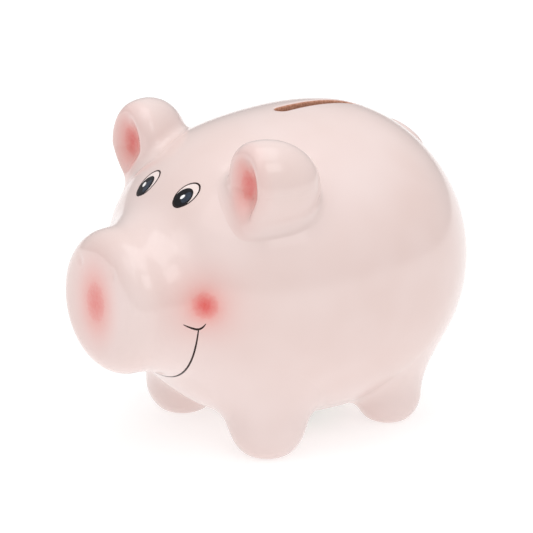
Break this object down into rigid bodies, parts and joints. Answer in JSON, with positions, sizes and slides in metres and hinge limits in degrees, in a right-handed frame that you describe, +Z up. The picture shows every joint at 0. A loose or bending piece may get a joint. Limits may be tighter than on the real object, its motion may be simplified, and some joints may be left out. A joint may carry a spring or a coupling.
{
  "type": "piggy bank",
  "caption": "Glazed ceramic pig-shaped coin bank with a slot in its back and a soft plug under the belly.",
  "frame": {"origin": "on the floor, under the middle of the bank's length and width", "axes": "+Z up, the snout towards -Y, the pig's own left side towards +X"},
  "size_m": [0.1014, 0.132, 0.1035],
  "materials": {
    "glazed_ceramic": "slip-cast white earthenware under a pale pink gloss glaze, with airbrushed pink blushes",
    "soft_plug": "moulded soft translucent plastic, satin"
  },
  "bodies": {
    "bank": {"body_shell": "glazed_ceramic", "left_ear": "glazed_ceramic", "right_ear": "glazed_ceramic", "front_left_leg": "glazed_ceramic", "front_right_leg": "glazed_ceramic", "rear_left_leg": "glazed_ceramic", "rear_right_leg": "glazed_ceramic", "tail": "glazed_ceramic"},
    "plug": {"belly_plug": "soft_plug"}
  },
  "joints": [
    {"name": "plug_pull", "type": "slide", "parent": "bank", "child": "plug", "axis": [0, 0, -1], "range_m": [0, 0.03]}
  ]
}
